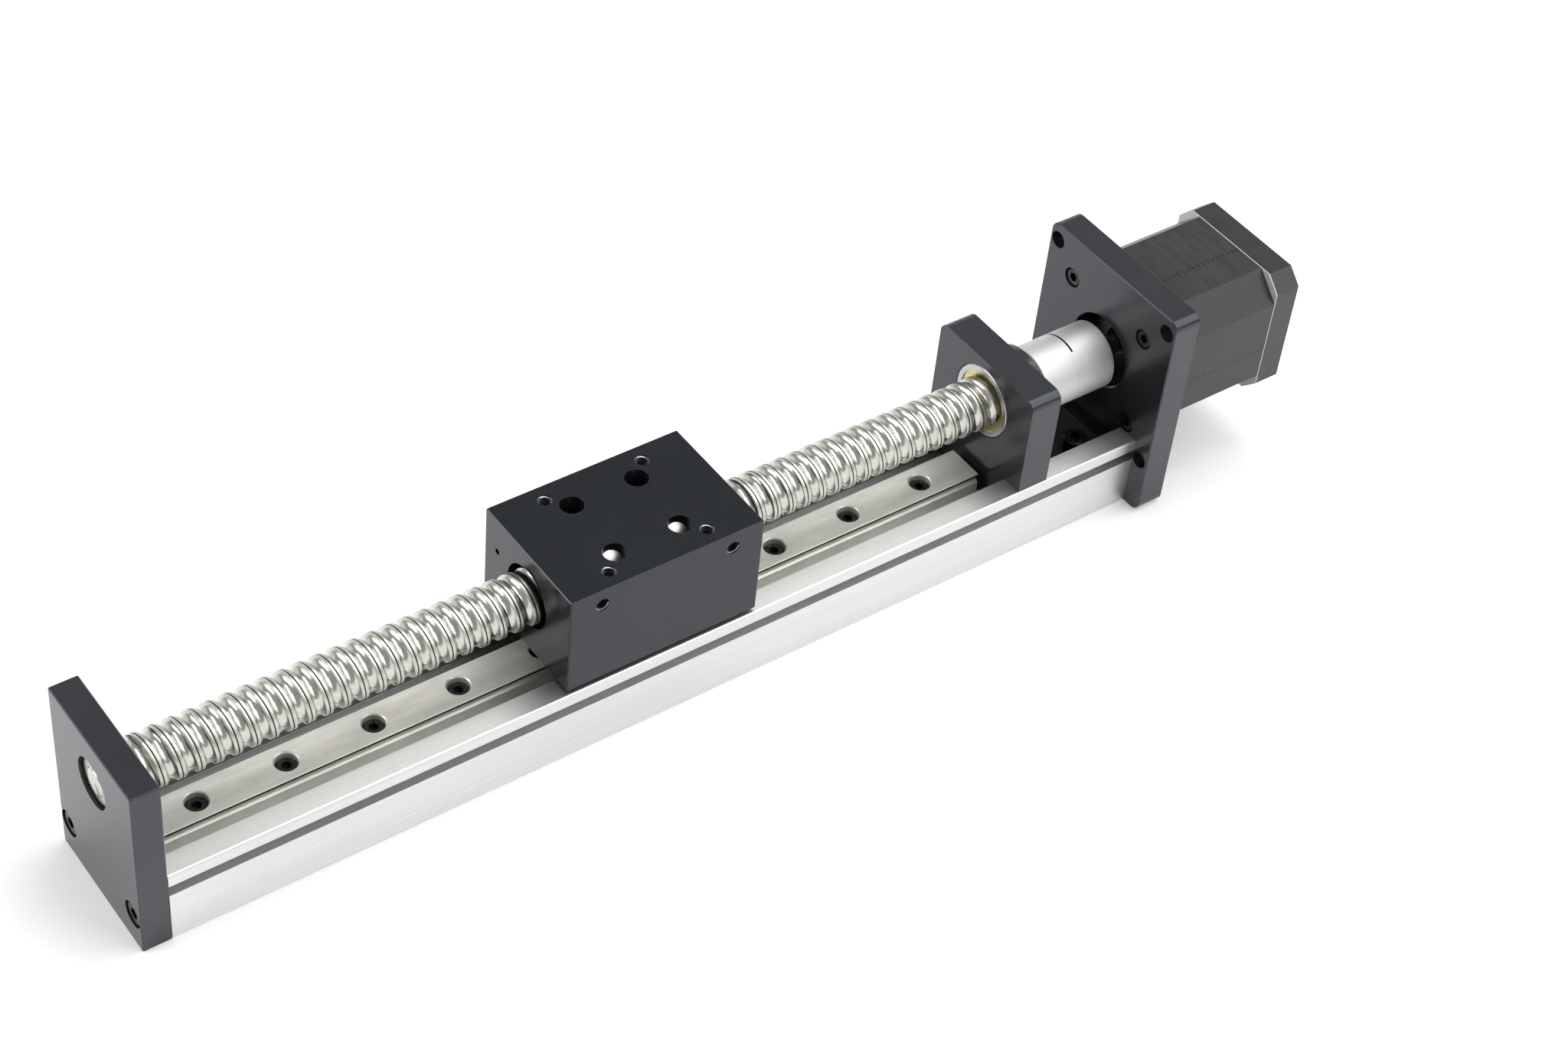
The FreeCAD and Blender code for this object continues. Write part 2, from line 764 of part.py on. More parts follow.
def slider_block():
    half = slider_width / 2
    solid = chamfered_box(slider_x, slider_x + slider_length, -half, half,
                          carriage_top_z, slider_top_z)
    seat_z = carriage_top_z + head_seat
    cuts = [rod_x(slider_x, nut_x0, slider_mouth_r),
            rod_x(nut_x0, slider_x + slider_length, nut_r),
            rod_x(slider_x, slider_x + grease_hole_depth, grease_hole_r, grease_hole_y,
                  grease_hole_z)]
    for x, y in corners(through_pattern, through_pattern):
        cuts.append(rod_z(seat_z, slider_top_z, m3_head_r + through_play, slider_mid + x, y))
        cuts.append(rod_z(carriage_top_z, seat_z, m3_r + seat_gap, slider_mid + x, y))
    for x, y in corners(tapped_pattern, tapped_pattern):
        cuts.append(rod_z(slider_top_z - tapped_depth, slider_top_z, m4_r, slider_mid + x, y))
    for side in (-1, 1):
        x = slider_mid + side * side_hole_pitch / 2
        cuts.append(rod_y(-half, -half + side_hole_depth, m4_r, x, side_hole_z))
        cuts.append(rod_y(half - side_hole_depth, half, m4_r, x, side_hole_z))
    for x in nut_lock_places():
        cuts.append(rod_y(0, half, m4_r + seat_gap, x, axis_z))
    for cut in cuts:
        solid = solid.cut(cut)
    return solid


def nut_lock_screws():
    outer_y = nut_r + nut_lock_length
    screw = m4_set_screw(nut_lock_length)
    return group([aimed(screw, V(x, outer_y, axis_z), Y_AXIS) for x in nut_lock_places()])


# Rail carriage

def carriage_profile(x0, x1, side_gap, top_gap, top_drop):
    """A block that straddles the rail."""
    half = carriage_width / 2
    inner = rail_width / 2 + side_gap
    solid = box(x0, x1, -half, half, carriage_bottom_z, carriage_top_z - top_drop)
    return solid.cut(box(x0, x1, -inner, inner, carriage_bottom_z, rail_top_z + top_gap))


def return_rows(x0, x1, radius):
    z = rail_top_z - return_z_drop
    return [rod_x(x0, x1, radius, side * return_y, z) for side in (-1, 1)]


def carriage_ends():
    """The two ends of the steel body, each with the way that it faces."""
    half = carriage_steel_length / 2
    return [(slider_mid - half, -1), (slider_mid + half, 1)]


def carriage_body():
    x0 = slider_mid - carriage_steel_length / 2
    x1 = slider_mid + carriage_steel_length / 2
    solid = carriage_profile(x0, x1, slide_gap, roof_gap, 0)
    solid = solid.cut(race_tool(x0, x1, rail_ball_r + ball_gap))
    cuts = return_rows(x0, x1, rail_ball_r + ball_gap)
    thread = m3_r + seat_gap
    depth = carriage_screw_length - head_seat + part_gap
    for x, y in corners(through_pattern, through_pattern):
        cuts.append(rod_z(carriage_top_z - depth, carriage_top_z, thread, slider_mid + x, y))
    for end_x, way in carriage_ends():
        for y in (-cap_screw_y, cap_screw_y):
            far = end_x - way * cap_screw_length
            cuts.append(rod_x(min(end_x, far), max(end_x, far), m2_r + seat_gap, y,
                              cap_screw_z()))
    for cut in cuts:
        solid = solid.cut(cut)
    return solid


def cap_screw_z():
    return (carriage_bottom_z + carriage_top_z) / 2 - cap_screw_drop


def carriage_end_caps():
    caps = []
    for end_x, way in carriage_ends():
        far = end_x + way * cap_thick
        cap = carriage_profile(min(end_x, far), max(end_x, far), slide_gap, roof_gap, cap_top_drop)
        for y in (-cap_screw_y, cap_screw_y):
            cap = cap.cut(rod_x(min(end_x, far), max(end_x, far), m2_r + seat_gap, y,
                                cap_screw_z()))
        caps.append(cap)
    return group(caps)


def carriage_end_seals():
    seals = []
    for end_x, way in carriage_ends():
        near = end_x + way * cap_thick
        far = near + way * seal_thick
        seal = carriage_profile(min(near, far), max(near, far), seal_gap, seal_gap, cap_top_drop)
        for y in (-cap_screw_y, cap_screw_y):
            seal = seal.cut(rod_x(min(near, far), max(near, far), m2_head_r + seat_gap, y,
                                  cap_screw_z()))
        seals.append(seal)
    return group(seals)


def carriage_cap_screws():
    screw = cap_screw(m2_r, m2_head_r, m2_head_h, m2_hex, cap_thick + cap_screw_length - part_gap)
    places = []
    for end_x, way in carriage_ends():
        for y in (-cap_screw_y, cap_screw_y):
            place = V(end_x + way * cap_thick, y, cap_screw_z())
            places.append(aimed(screw, place, X_AXIS * way))
    return group(places)


def carriage_balls():
    """Loaded balls on the rail's tracks and returning balls in the steel body."""
    pitch = (carriage_steel_length - 2 * rail_ball_r) / (carriage_balls_in_row - 1)
    start = slider_mid - carriage_steel_length / 2 + rail_ball_r
    rows = [(rail_width / 2 + race_outset, rail_top_z - race_drop),
            (return_y, rail_top_z - return_z_drop)]
    balls = []
    for y, z in rows:
        for side in (-1, 1):
            for i in range(carriage_balls_in_row):
                balls.append(Part.makeSphere(rail_ball_r, V(start + i * pitch, side * y, z)))
    return group(balls)


def carriage_screws():
    screw = m3_screw(carriage_screw_length)
    seat_z = carriage_top_z + head_seat
    return group([aimed(screw, V(slider_mid + x, y, seat_z), Z_AXIS)
                  for x, y in corners(through_pattern, through_pattern)])


# Shaft coupling

def grip_places():
    """Set screws of the coupling: X, the way they face, and the shaft radius that they press."""
    places = []
    for x, shaft in ((coupling_x0 + grip_inset, drive_end_r), (coupling_x1 - grip_inset, motor_shaft_r)):
        places.append((x, V(0, 1, 0), shaft))
        places.append((x, V(0, 0, -1), shaft))
    return places


def shaft_coupling():
    solid = rod_x(coupling_x0, coupling_x1, coupling_r)
    solid = solid.makeChamfer(coupling_break, round_edges(solid, coupling_r))
    cuts = [rod_x(coupling_x0, coupling_mid, drive_end_r + seat_gap),
            rod_x(coupling_mid, coupling_x1, motor_shaft_r + seat_gap),
            box(coupling_mid - slit_width / 2, coupling_mid + slit_width / 2,
                slit_floor_y, coupling_r, axis_z - coupling_r, axis_z + coupling_r)]
    for x, way, _ in grip_places():
        hole = Part.makeCylinder(m4_r + seat_gap, coupling_r + cut_over)
        cuts.append(aimed(hole, V(x, 0, axis_z), way))
    for cut in cuts:
        solid = solid.cut(cut)
    return solid


def coupling_set_screws():
    screws = []
    for x, way, shaft in grip_places():
        length = coupling_r - grip_sink - shaft - seat_gap
        outer = V(x, 0, axis_z) + way * (coupling_r - grip_sink)
        screws.append(aimed(m4_set_screw(length), outer, way))
    return group(screws)


# Motor plate

def motor_plate():
    half = plate_width / 2
    solid = box(base_x1, plate_x1, -half, half, 0, plate_height)
    solid = solid.makeFillet(plate_corner_r, [e for e in solid.Edges if along_x(e)])
    rim = [e for e in solid.Edges if abs(e.Vertexes[0].X - e.Vertexes[-1].X) < 1e-6]
    solid = solid.makeChamfer(edge_break, rim)
    cuts = [rod_x(base_x1, plate_x1, pilot_r + seat_gap)]
    mouth = Part.makeCone(pilot_r + hole_break, pilot_r, hole_break, V(base_x1, 0, axis_z), X_AXIS)
    cuts.append(mouth)
    for y, z in corners(large_pattern, large_pattern):
        cuts.append(rod_x(base_x1, plate_x1, large_hole_r, y, axis_z + z))
    for y, z in corners(small_pattern, small_pattern):
        cuts.append(counterbore_x(base_x1, 1, m3_r, m3_head_r, m3_head_h, plate_thick, y, axis_z + z))
    for side in (-1, 1):
        cuts.append(counterbore_x(plate_x1, -1, m4_r, m4_head_r, m4_head_h, plate_thick,
                                  side * end_screw_y, end_screw_z))
    for cut in cuts:
        solid = solid.cut(cut)
    return solid


def motor_plate_screws():
    screw = m4_screw(plate_screw_length)
    seat = plate_x1 - m4_head_h - head_recess
    return group([aimed(screw, V(seat, side * end_screw_y, end_screw_z), X_AXIS)
                  for side in (-1, 1)])


def motor_screws():
    screw = m3_screw(motor_screw_length)
    seat = base_x1 + m3_head_h + head_recess
    return group([aimed(screw, V(seat, y, axis_z + z), -X_AXIS)
                  for y, z in corners(small_pattern, small_pattern)])


# Stepping motor

def motor_section(x0, x1, corner):
    return face_in_yz(square_outline(motor_square / 2, corner), x0).extrude(V(x1 - x0, 0, 0))


def front_bearing_x():
    return plate_x1 + front_wall


def rear_bearing_x():
    return motor_x1 - rear_wall - washer_thick - motor_bearing["width"]


def winding_recess(x0, x1):
    return ring_x(x0, x1, winding_recess_r, motor_bearing["outer"] + bearing_wall)


def motor_front_flange():
    body = motor_section(plate_x1, flange_x1, flange_corner)
    pilot = rod_x(plate_x1 - pilot_height, plate_x1, pilot_r)
    solid = joined([body, pilot])
    cuts = [rod_x(front_bearing_x(), flange_x1, motor_bearing["outer"]),
            rod_x(plate_x1 - pilot_height, flange_x1, pilot_hole_r),
            winding_recess(flange_x1 - winding_recess_depth, flange_x1)]
    for y, z in corners(small_pattern, small_pattern):
        cuts.append(rod_x(plate_x1, flange_x1, m3_r + seat_gap, y, axis_z + z))
    for cut in cuts:
        solid = solid.cut(cut)
    return solid


def pole_angles():
    return [360.0 * (i + 0.5) / pole_count for i in range(pole_count)]


def turned(shape, degrees):
    moved = shape.copy()
    moved.rotate(V(0, 0, axis_z), X_AXIS, degrees)
    return moved


def stator_pole():
    """One pole along +Y from the axis: a straight tooth with a curved shoe."""
    tooth = box(flange_x1, stack_x1, stator_bore_r, yoke_r + pole_root,
                -pole_half_width + axis_z, pole_half_width + axis_z)
    sector = Part.makeCylinder(stator_bore_r + shoe_depth, stack_length,
                               V(flange_x1, 0, axis_z), X_AXIS, 2 * shoe_half_angle)
    sector.rotate(V(0, 0, axis_z), X_AXIS, 90)
    directions = sector.CenterOfMass - V(0, 0, axis_z)
    lean = math.degrees(math.atan2(directions.z, directions.y))
    return joined([tooth, turned(sector, -lean)])


def stator_stack():
    solid = motor_section(flange_x1, stack_x1, stack_chamfer)
    solid = solid.cut(rod_x(flange_x1, stack_x1, yoke_r))
    pole = stator_pole()
    solid = joined([solid] + [turned(pole, a) for a in pole_angles()])
    solid = solid.cut(rod_x(flange_x1, stack_x1, stator_bore_r))
    for y, z in corners(small_pattern, small_pattern):
        solid = solid.cut(rod_x(flange_x1, stack_x1, m3_r + tie_screw_clear, y, axis_z + z))
    return solid


def pole_sleeve(inner_half, outer_half, x_over_inner, x_over_outer):
    """A rectangular sleeve round one pole's tooth."""
    outer = box(flange_x1 - x_over_outer, stack_x1 + x_over_outer, coil_inner_r, coil_outer_r,
                axis_z - outer_half, axis_z + outer_half)
    inner = box(flange_x1 - x_over_inner, stack_x1 + x_over_inner, coil_inner_r, coil_outer_r,
                axis_z - inner_half, axis_z + inner_half)
    return outer.cut(inner)


def stator_bobbins():
    sleeve = pole_sleeve(pole_half_width, pole_half_width + bobbin_wall, 0, bobbin_wall)
    return group([turned(sleeve, a) for a in pole_angles()])


def stator_coils():
    coil = pole_sleeve(pole_half_width + bobbin_wall, coil_half_width, bobbin_wall, coil_head)
    return group([turned(coil, a) for a in pole_angles()])


def toothed_cup(x0, x1, shift):
    """A rotor half with straight teeth, turned by a share of a tooth."""
    outer = stator_bore_r - rotor_air_gap
    inner = outer - tooth_depth
    step = 2 * math.pi / rotor_teeth
    tooth = ((0.0, inner), (tooth_root_share, inner),
             (tooth_root_share + tooth_flank_share, outer), (1 - tooth_flank_share, outer))
    points = []
    for i in range(rotor_teeth):
        for share, radius in tooth:
            angle = step * (i + share + shift)
            points.append((radius * math.cos(angle), axis_z + radius * math.sin(angle)))
    disc = face_in_yz(points, x0).extrude(V(x1 - x0, 0, 0))
    return disc.cut(rod_x(x0, x1, motor_shaft_r + seat_gap))


def rotor_nodes():
    middle = (flange_x1 + stack_x1) / 2
    front = middle - magnet_length / 2
    rear = middle + magnet_length / 2
    return dict(rotor_front_cup=toothed_cup(front - cup_length, front, 0.0),
                rotor_magnet=ring_x(front, rear, magnet_r, motor_shaft_r + seat_gap),
                rotor_rear_cup=toothed_cup(rear, rear + cup_length, 0.5))


def motor_shaft():
    x0 = plate_x1 - motor_shaft_reach
    x1 = rear_bearing_x() + motor_bearing["width"]
    shaft = rod_x(x0, x1, motor_shaft_r)
    flat_y = motor_shaft_r - shaft_flat_depth
    return shaft.cut(box(x0, base_x1, flat_y, motor_shaft_r, axis_z - motor_shaft_r,
                         axis_z + motor_shaft_r))


def connector_space(grow):
    x0 = stack_x1 + connector_x_inset
    half = connector_width / 2
    return box(x0 - grow, x0 + connector_length + grow, -half - grow, half + grow,
               motor_z0 - connector_reach, motor_z0 + connector_sink)


def motor_rear_cap():
    solid = motor_section(stack_x1, motor_x1, flange_corner)
    rear = [e for e in solid.Edges
            if abs(e.Vertexes[0].X - motor_x1) < 1e-6 and abs(e.Vertexes[-1].X - motor_x1) < 1e-6]
    solid = solid.makeChamfer(edge_break, rear)
    seat = motor_x1 - m3_head_h - head_recess
    cuts = [rod_x(stack_x1, motor_x1 - rear_wall, motor_bearing["outer"]),
            winding_recess(stack_x1, stack_x1 + winding_recess_depth),
            connector_space(seat_gap)]
    for y, z in corners(small_pattern, small_pattern):
        cuts.append(rod_x(stack_x1, seat, m3_r + seat_gap, y, axis_z + z))
        cuts.append(rod_x(seat, motor_x1, m3_head_r + head_play, y, axis_z + z))
    for cut in cuts:
        solid = solid.cut(cut)
    return solid


def motor_tie_screws():
    seat = motor_x1 - m3_head_h - head_recess
    tip = base_x1 + m3_head_h + head_recess + motor_screw_length + tie_screw_end_gap
    screw = m3_screw(seat - tip)
    return group([aimed(screw, V(seat, y, axis_z + z), X_AXIS)
                  for y, z in corners(small_pattern, small_pattern)])


def motor_wave_washer():
    """A springy ring between the rear bearing and its cap, with low waves."""
    x0 = rear_bearing_x() + motor_bearing["width"]
    outer = motor_bearing["outer"] - part_gap
    ring = ring_x(x0, x0 + washer_thick, outer, outer - washer_width)
    half = washer_dip_width / 2
    for i in range(washer_dips):
        dip = box(x0, x0 + washer_wave, 0, outer, axis_z - half, axis_z + half)
        ring = ring.cut(turned(dip, 360.0 * i / washer_dips))
    return ring


def motor_connector():
    shell = connector_space(0)
    bounds = shell.BoundBox
    hollow = box(bounds.XMin + connector_wall, bounds.XMax - connector_wall,
                 bounds.YMin + connector_wall, bounds.YMax - connector_wall,
                 bounds.ZMin, bounds.ZMax - connector_wall)
    solid = shell.cut(hollow)
    for pin in connector_pin_list():
        solid = solid.cut(pin)
    return solid


def connector_pin_list():
    bounds = connector_space(0).BoundBox
    x = (bounds.XMin + bounds.XMax) / 2
    pins = []
    for i in range(pin_count):
        y = (i - (pin_count - 1) / 2) * pin_pitch
        pins.append(box(x - pin_half, x + pin_half, y - pin_half, y + pin_half,
                        bounds.ZMin + connector_wall, bounds.ZMax))
    return pins


def connector_pins():
    return group(connector_pin_list())


def all_nodes():
    nodes = dict(
        base_extrusion=base_extrusion(), guide_rail=guide_rail(), rail_screws=rail_screws(),
        end_plate=end_plate(), end_plate_screws=end_plate_screws(),
        bearing_block=bearing_block(), bearing_block_screws=bearing_block_screws(),
        bearing_spacer=bearing_spacer(), shaft_circlip=shaft_circlip(),
        ball_screw=ball_screw(), ball_nut=ball_nut(), nut_balls=nut_balls(),
        nut_return_caps=nut_return_caps(), nut_wipers=nut_wipers(),
        slider_block=slider_block(), nut_lock_screws=nut_lock_screws(),
        carriage_body=carriage_body(), carriage_end_caps=carriage_end_caps(),
        carriage_end_seals=carriage_end_seals(), carriage_cap_screws=carriage_cap_screws(),
        carriage_balls=carriage_balls(), carriage_screws=carriage_screws(),
        shaft_coupling=shaft_coupling(), coupling_set_screws=coupling_set_screws(),
        motor_plate=motor_plate(), motor_plate_screws=motor_plate_screws(),
        motor_screws=motor_screws(), motor_front_flange=motor_front_flange(),
        stator_stack=stator_stack(), stator_bobbins=stator_bobbins(),
        stator_coils=stator_coils(), motor_shaft=motor_shaft(),
        motor_rear_cap=motor_rear_cap(), motor_tie_screws=motor_tie_screws(),
        motor_wave_washer=motor_wave_washer(), motor_connector=motor_connector(),
        connector_pins=connector_pins())
    nodes.update(rotor_nodes())
    idle_x = end_plate_thick - idle_bearing["width"]
    nodes.update(bearing_nodes("idle_bearing", idle_bearing, [idle_x]))
    nodes.update(bearing_nodes("fixed_bearing", fixed_bearing,
                               [block_x, block_x + fixed_bearing["width"]]))
    nodes.update(bearing_nodes("motor_bearing", motor_bearing,
                               [front_bearing_x(), rear_bearing_x()]))
    return nodes


os.makedirs("parts", exist_ok=True)
for name, shape in all_nodes().items():
    shape.translate(V(-origin_x, 0, 0))
    shape.exportStep(f"parts/{name}.step")
    bounds = shape.BoundBox
    print(f"{name:26s} {len(shape.Solids):3d} valid {shape.isValid()} volume {shape.Volume:10.1f} "
          f"x {bounds.XMin:7.1f} {bounds.XMax:7.1f} y {bounds.YMin:6.1f} {bounds.YMax:6.1f} "
          f"z {bounds.ZMin:5.1f} {bounds.ZMax:5.1f}")
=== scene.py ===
import json
import math

import bmesh
import bpy
from mathutils import Matrix, Vector


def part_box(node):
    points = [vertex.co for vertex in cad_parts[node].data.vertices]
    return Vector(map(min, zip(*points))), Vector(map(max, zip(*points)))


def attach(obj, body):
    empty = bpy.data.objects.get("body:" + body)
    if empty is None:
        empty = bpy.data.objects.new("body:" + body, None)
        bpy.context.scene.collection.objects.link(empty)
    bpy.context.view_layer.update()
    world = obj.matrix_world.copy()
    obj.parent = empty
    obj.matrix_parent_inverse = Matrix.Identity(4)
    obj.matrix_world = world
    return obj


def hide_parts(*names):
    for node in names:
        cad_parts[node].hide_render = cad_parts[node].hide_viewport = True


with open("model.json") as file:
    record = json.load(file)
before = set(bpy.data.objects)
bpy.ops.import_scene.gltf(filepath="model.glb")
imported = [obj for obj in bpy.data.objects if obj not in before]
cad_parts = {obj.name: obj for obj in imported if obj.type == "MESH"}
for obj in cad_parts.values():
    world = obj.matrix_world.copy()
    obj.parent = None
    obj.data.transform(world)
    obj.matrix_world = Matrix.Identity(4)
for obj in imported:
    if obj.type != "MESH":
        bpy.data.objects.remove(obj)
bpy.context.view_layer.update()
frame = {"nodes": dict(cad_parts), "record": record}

# Lengths are in metres, and X runs along the screw from the idle end plate to the motor.

# Camera, found by matching measured corners and hole centres
EYE = (-0.37371, -0.46669, 0.60870)
LOOK_AZIMUTH = math.radians(40.19)      # from +Y towards +X
LOOK_DOWN = math.radians(43.54)
ROLL = math.radians(6.607)
LENS_MM = 71.62
SENSOR_MM = 36.0
CLIP_START = 0.01
CLIP_END = 50

# Thread of the screw, with the ball track where the CAD node has it
AXIS_Z = 0.0414
LEAD = 0.005
SCREW_R = 0.0075
BALL_CIRCLE_R = 0.00825
TRACK_R = 0.0016775
TRACK_LIP = 0.00010
LAND_ROUND = 0.00003
SEAM_DEPTH = 0.00022                    # crease that rolling leaves along each land
SEAM_HALF = 0.00013
SEAM_FLARE = 0.8                        # share of the depth, halfway from its middle to its edge
TURN_STEPS = 72
TRACK_STEPS = 12
CUT_DISTANCE = 1e-8

# Turned ends of the screw
THREAD_RELIEF = 0.0006                  # from the thread to the end plate and to the bearing block
NECK_R = 0.0062025
END_R = 0.004
SEAT_R = 0.005
CLIP_GROOVE_R = 0.0047
CLIP_LIP = 0.0002
SHAFT_BREAK = 0.0003
SHAFT_STEPS = 64
NECK_OVERLAP = 0.0001                   # into the thread

SHARP_FROM = math.radians(35)           # new pieces shade smoothly over edges flatter than this

# Finish of the screw, with shares of the lead measured from the middle of the track
TRACK_SHARE = 0.3
CREASE_START = 0.455
TRACK_ROUGH = 0.20
LAND_ROUGH = 0.36
ROUGH_GRAIN = 0.03

# Painted shade and oil in the ball tracks of the rail, inwards from its side and down from its top
TRACK_REACH = 0.0012
TRACK_HEAD = 0.00012
TRACK_FOOT = 0.0017

# The extrusion's channel has its far wall beyond this, and facing this much towards -Y; painted shade
# darkens that wall under the screw
CHANNEL_REACH = 0.007
WALL_FACING = 0.9

# Slit of the coupling, painted dark as shade
COUPLING_R = 0.010
SLIT_HALF = 0.00036
SLIT_SINK = 0.00006

# Bare metal on the motor's two ends, against the stack
BARE_COLOR = (0.56, 0.56, 0.54)
BARE_METALLIC = 0.25
BARE_EDGE = 0.0003
BARE_FACING = 0.97

# Motor's sheets, and the two rows of small dimples that hold them together
LAMINATION = 0.0005
DIMPLE_PITCH = 0.00185
DIMPLE_R = 0.00055
DIMPLE_TOP_Y = -0.0035
DIMPLE_SIDE_Z = 0.0383

# Tapped holes of the slider block
TAP_R = 0.002
TAP_CLEAR = 0.000005
TAP_PITCH = 0.0007
TAP_RIDGE = 0.00034
RIDGE_FOOT = 0.24                       # half widths of a ridge, as shares of the pitch
RIDGE_CREST = 0.06
TAP_STEPS = 28
TOP_TAPS_APART = 0.030
TOP_TAP_DEPTH = 0.008
SIDE_TAPS_APART = 0.040
SIDE_TAP_Z = 0.0509
SIDE_TAP_DEPTH = 0.0055

# Noise levels between which tint and roughness change
TINT_SPAN = (0.35, 0.65)
ROUGH_SPAN = (0.3, 0.7)
BEVEL_SAMPLES = 4

# Finishes with no features of their own: name, colour, metallic, roughness
PLAIN_FINISHES = (
    ("motor_bare", (0.72, 0.72, 0.71), 1.0, 0.35),
    ("copper_wire", (0.62, 0.28, 0.14), 1.0, 0.3),
    ("magnet", (0.16, 0.16, 0.17), 0.6, 0.5),
    ("rotor_steel", (0.42, 0.42, 0.42), 1.0, 0.4),
    ("white_plastic", (0.80, 0.79, 0.75), 0.0, 0.45),
    ("black_plastic", (0.02, 0.02, 0.02), 0.0, 0.5),
    ("seal_rubber", (0.03, 0.03, 0.03), 0.0, 0.7),
    ("pin_brass", (0.78, 0.66, 0.36), 1.0, 0.3),
)

# Studio
FLOOR_HALF = 4.0
FLOOR_ALBEDO = 0.86
FLOOR_ROUGH = 0.9
FLOOR_LIFT = 0.22                       # lifts the floor to white where it is seen
FLOOR_FAR_LIFT = 0.62                   # and more where the lamps no longer reach it
FLOOR_NEAR = 0.6
FLOOR_FAR = 1.8
ROUND_LEVEL = 0.42
WALL_LEVEL = 0.95
WALL_TOWARDS = (0.3, 0.95, 0.05)
WALL_CORE = math.radians(24)
WALL_EDGE = math.radians(41)

# Soft boxes: name, place, aim, size, watts
SOFTBOXES = (
    ("key", (0.68, -0.62, 0.92), (0, 0, 0.03), (1.35, 1.2), 10),
    ("top", (0.40, 0.15, 1.4), (0, 0, 0.03), (0.8, 0.8), 8),
    ("left", (-1.0, 0.5, 0.65), (-0.1, 0.15, 0), (0.8, 0.6), 7),
)

NODES = frame["nodes"]


# Node helpers

class Nodes:
    """Makes and links the nodes of one node tree."""

    def __init__(self, tree):
        self.tree = tree

    def node(self, kind, **settings):
        made = self.tree.nodes.new(kind)
        for key, value in settings.items():
            setattr(made, key, value)
        return made

    def link(self, source, target):
        """Links two sockets, or sets the target where the source is a number."""
        if isinstance(source, (int, float)):
            target.default_value = source
        else:
            self.tree.links.new(source, target)

    def math(self, operation, *values):
        """A Math node over numbers and sockets."""
        made = self.node("ShaderNodeMath", operation=operation)
        for value, socket in zip(values, made.inputs):
            self.link(value, socket)
        return made.outputs[0]

    def every(self, first, *others):
        """1 where all the conditions are 1."""
        for other in others:
            first = self.math("MULTIPLY", first, other)
        return first

    def distance(self, a, b):
        """Length of the vector with these two parts."""
        squares = self.math("ADD", self.math("MULTIPLY", a, a), self.math("MULTIPLY", b, b))
        return self.math("SQRT", squares)

    def apart(self, a, b):
        """How far two values lie apart."""
        return self.math("ABSOLUTE", self.math("SUBTRACT", a, b))

    def span(self, value, source, target, kind="LINEAR"):
        """A value mapped from one range to another."""
        made = self.node("ShaderNodeMapRange", interpolation_type=kind)
        names = ("From Min", "From Max", "To Min", "To Max")
        for name, number in zip(names, (*source, *target)):
            made.inputs[name].default_value = number
        self.link(value, made.inputs["Value"])
        return made.outputs["Result"]

    def axes(self, output="Object"):
        """The X, Y and Z of a texture coordinate."""
        split = self.node("ShaderNodeSeparateXYZ")
        self.link(self.node("ShaderNodeTexCoord").outputs[output], split.inputs[0])
        return split.outputs[0], split.outputs[1], split.outputs[2]


